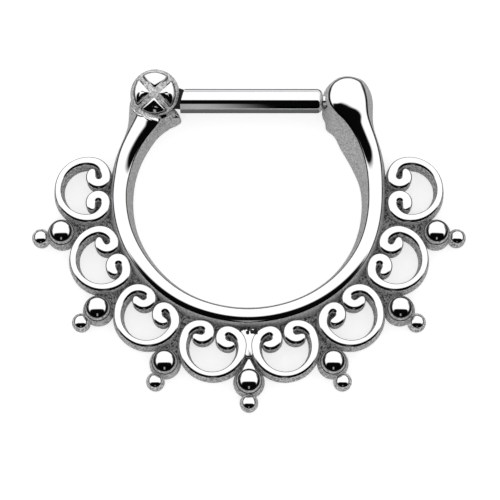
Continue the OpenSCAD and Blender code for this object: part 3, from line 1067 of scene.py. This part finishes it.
BRIDGE = [(-0.42, -7.02), (-0.30, -7.35), (-0.24, -7.75), (-0.24, -8.15), (-0.10, -8.36), (0.10, -8.36),
          (0.24, -8.15), (0.24, -7.75), (0.30, -7.35), (0.42, -7.02), (0.16, -6.92), (0.0, -7.04), (-0.16, -6.92)]
WEDGE = [(-0.05, -8.42), (-0.34, -8.98), (-0.20, -9.05), (0.20, -9.05), (0.34, -8.98), (0.05, -8.42)]
bridge = raised("bridge", BRIDGE, 1.13)
finish(bridge, "ring", scroll_steel)
wedge = raised("wedge", WEDGE, 1.08)
finish(wedge, "ring", scroll_steel)

# %% [markdown]
# ## The crumbs on the bridge
#
# The wheel misses the bridge's upper end, so a cluster of casting crumbs stays there. It could be a
# pattern of bumps, but real crumbs overlap, so it is made as the solder line is.

# %% Crumbs on the bridge
crumbs = [crumb(CENTRE + Vector((0.40 * math.sin(2.4 * i), -7.05 + 0.13 * math.cos(3.7 * i), 1.19)) * MM,
                0.072 + 0.020 * math.sin(5 * i)) for i in range(13)]
# The crumbs get the near-black steel, painted shade among them
finish(melt("bridge_crumbs", crumbs, 0.018), "ring", painted_shade_steel)

# %% [markdown]
# ## The bar
#
# The bar is turned from rod: a cylinder with a chamfer and a short nub at its free end. At the
# hinge it is coped round the ball, and a flat tongue goes on into the slot, with a hole for the
# pin. The turned part is a half profile spun round the bar's own axis.

# %% Bar's turned part
BAR_Y = CENTRE.y + 4.47 * MM
BAR_R, SHOULDER_X, BAR_END, NUB_R, NUB_LENGTH = 0.6, 1.25, 8.3, 0.3, 0.6
COPE_R = 1.50
rod_profile = [(0, SHOULDER_X), (BAR_R, SHOULDER_X), (BAR_R, BAR_END - 0.26), (BAR_R - 0.015, BAR_END - 0.19),
               (BAR_R - 0.07, BAR_END - 0.09), (BAR_R - 0.16, BAR_END - 0.02), (BAR_R - 0.22, BAR_END),
               (NUB_R + 0.03, BAR_END), (NUB_R, BAR_END + 0.03), (NUB_R, BAR_END + NUB_LENGTH - 0.06),
               (NUB_R - 0.06, BAR_END + NUB_LENGTH), (0, BAR_END + NUB_LENGTH)]
rod_axis = Vector((HINGE.x, BAR_Y, BAR_Z))
bar = draw("straight_bar", [rod_axis + Vector((x, 0, radius)) * MM for radius, x in rod_profile], closed=False)
spin(rod_axis, 64, axis=(1, 0, 0))
tidy(bar, 0.001)
bpy.ops.object.select_all(action="DESELECT")
bpy.ops.mesh.primitive_uv_sphere_add(segments=64, ring_count=48, radius=COPE_R * MM, location=BULB_MIDDLE)
combine(bar, bpy.context.object, "DIFFERENCE")
print("turned part:", len(bar.data.polygons), "faces")

# %% Tongue
TONGUE_R, TONGUE_LONG = 0.6, 1.8
tongue = draw("tongue", [Vector((HINGE.x, HINGE.y, BAR_Z - 0.3 * MM))
              + Vector((TONGUE_R * math.cos(math.radians(a)), TONGUE_R * math.sin(math.radians(a)), 0)) * MM
              for a in range(60, 271, 10)]
              + [Vector((HINGE.x + TONGUE_LONG * MM, BAR_Y - 0.4 * MM, BAR_Z - 0.3 * MM)),
                 Vector((HINGE.x + TONGUE_LONG * MM, BAR_Y + 0.4 * MM, BAR_Z - 0.3 * MM))])
bpy.ops.mesh.select_all(action="SELECT")
extrude((0, 0, 0.6 * MM))
tidy(tongue)
modify(tongue, "BEVEL", width=0.03 * MM, segments=2, limit_method="ANGLE", angle_limit=math.radians(50))
bpy.ops.object.select_all(action="DESELECT")
bpy.ops.mesh.primitive_cylinder_add(vertices=48, radius=0.28 * MM, depth=2 * MM, location=BULB_MIDDLE)
combine(tongue, bpy.context.object, "DIFFERENCE")
print("tongue:", len(tongue.data.polygons), "faces")

# %% Bar
# Faces of the bar within this distance of the ball's middle get the near-black steel: painted shade in the gap at
# the coped end
COPE_SHADE_R = 1.53
combine(bar, tongue, "UNION")
smooth(bar, 30)
finish(bar, "bar", bar_steel, "bar")
bar.data.materials.append(painted_shade_steel)
for face in bar.data.polygons:
    face.material_index = int((face.center - BULB_MIDDLE).length < COPE_SHADE_R * MM)

# %% [markdown]
# ## The pin
#
# The pin is a plain rod that hardly shows. It could be turned again like the bar, but the packed
# model's own is round enough, so it is kept and only its finish is new.

# %% Pin
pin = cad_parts["hinge_pin"]
pin.material_slots[0].material = rough_steel
print("pin:", pin.name, [place.material.name for place in pin.material_slots])
